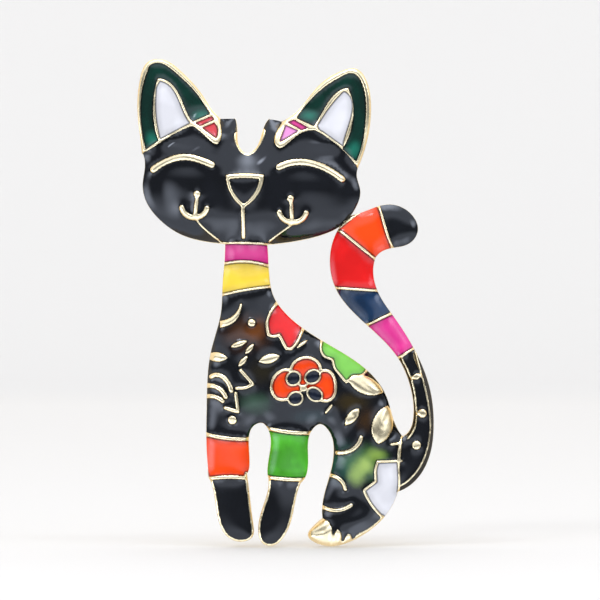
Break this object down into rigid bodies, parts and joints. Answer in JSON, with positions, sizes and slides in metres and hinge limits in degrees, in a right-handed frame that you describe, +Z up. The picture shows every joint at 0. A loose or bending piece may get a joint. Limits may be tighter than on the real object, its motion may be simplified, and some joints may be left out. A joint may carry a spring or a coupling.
{
  "type": "enamel pin",
  "caption": "Gold-plated enamel brooch shaped as a seated cat with closed eyes, a patchwork body and a curled striped tail, with a hinged pin and turning safety catch on its back",
  "frame": {"origin": "middle of the closed pin stem's axis, 3.2 mm behind the casting's flat back, behind the head", "axes": "+Z up along the cat as worn, +X along the pin stem from its hinge towards its point, to the right of someone facing the front; the decorated front looks along -Y"},
  "size_m": [0.0362, 0.01, 0.0596],
  "materials": {
    "gold_plate": "die-cast zinc alloy with polished pale gold plating",
    "nickel_plate": "stamped steel with pale gold flash plating",
    "nickel_lock": "rolled steel with pale gold flash plating",
    "stem_steel": "drawn hard steel wire, polished nickel",
    "solder": "tin solder, dull",
    "enamel_black": "glossy black enamel fill with faint colour clouds",
    "enamel_deep_green": "glossy bottle green enamel fill",
    "enamel_leaf_green": "glossy leaf green enamel fill",
    "enamel_white": "glossy cool white enamel fill",
    "enamel_coral": "glossy coral red enamel fill",
    "enamel_red": "glossy red enamel fill",
    "enamel_pink": "glossy pink enamel fill",
    "enamel_magenta": "glossy magenta enamel fill",
    "enamel_yellow": "glossy yellow enamel fill",
    "enamel_orange": "glossy orange enamel fill",
    "enamel_navy": "glossy navy enamel fill",
    "enamel_night_blue": "glossy blue-black enamel fill"
  },
  "bodies": {
    "brooch": {"back_green": "enamel_leaf_green", "back_red": "enamel_red", "body_black": "enamel_black", "cast_body": "gold_plate", "catch_housing": "nickel_plate", "collar_magenta": "enamel_magenta", "collar_yellow": "enamel_yellow", "ear_left_green": "enamel_deep_green", "ear_left_red_strip": "enamel_coral", "ear_left_red_tip": "enamel_coral", "ear_left_white": "enamel_white", "ear_right_green": "enamel_deep_green", "ear_right_magenta_strip": "enamel_magenta", "ear_right_pink_tip": "enamel_pink", "ear_right_white": "enamel_white", "flower_field_left": "enamel_orange", "flower_field_right": "enamel_orange", "flower_field_top": "enamel_orange", "head_black": "enamel_black", "hinge_rivet": "stem_steel", "hip_white": "enamel_white", "leg_left_orange": "enamel_orange", "leg_right_green": "enamel_leaf_green", "nose_black": "enamel_black", "paw_left_black": "enamel_black", "paw_right_black": "enamel_black", "petal_lower_left": "enamel_night_blue", "petal_lower_right": "enamel_night_blue", "petal_upper_left": "enamel_night_blue", "petal_upper_right": "enamel_night_blue", "pin_bar": "nickel_plate", "solder_plugs": "solder", "tail_base_black": "enamel_black", "tail_magenta": "enamel_magenta", "tail_navy": "enamel_navy", "tail_orange": "enamel_orange", "tail_red": "enamel_red", "tail_tip_black": "enamel_black"},
    "stem": {"pin_stem": "stem_steel"},
    "lock": {"catch_lock": "nickel_lock"}
  },
  "joints": [
    {"name": "pin_swing", "type": "hinge", "parent": "brooch", "child": "stem", "pos_m": [-0.009, 0, 0], "axis": [0, 0, 1], "range_deg": [0, 90]},
    {"name": "lock_turn", "type": "hinge", "parent": "brooch", "child": "lock", "pos_m": [0.0091, 0, 0], "axis": [-1, 0, 0], "range_deg": [0, 120]}
  ]
}
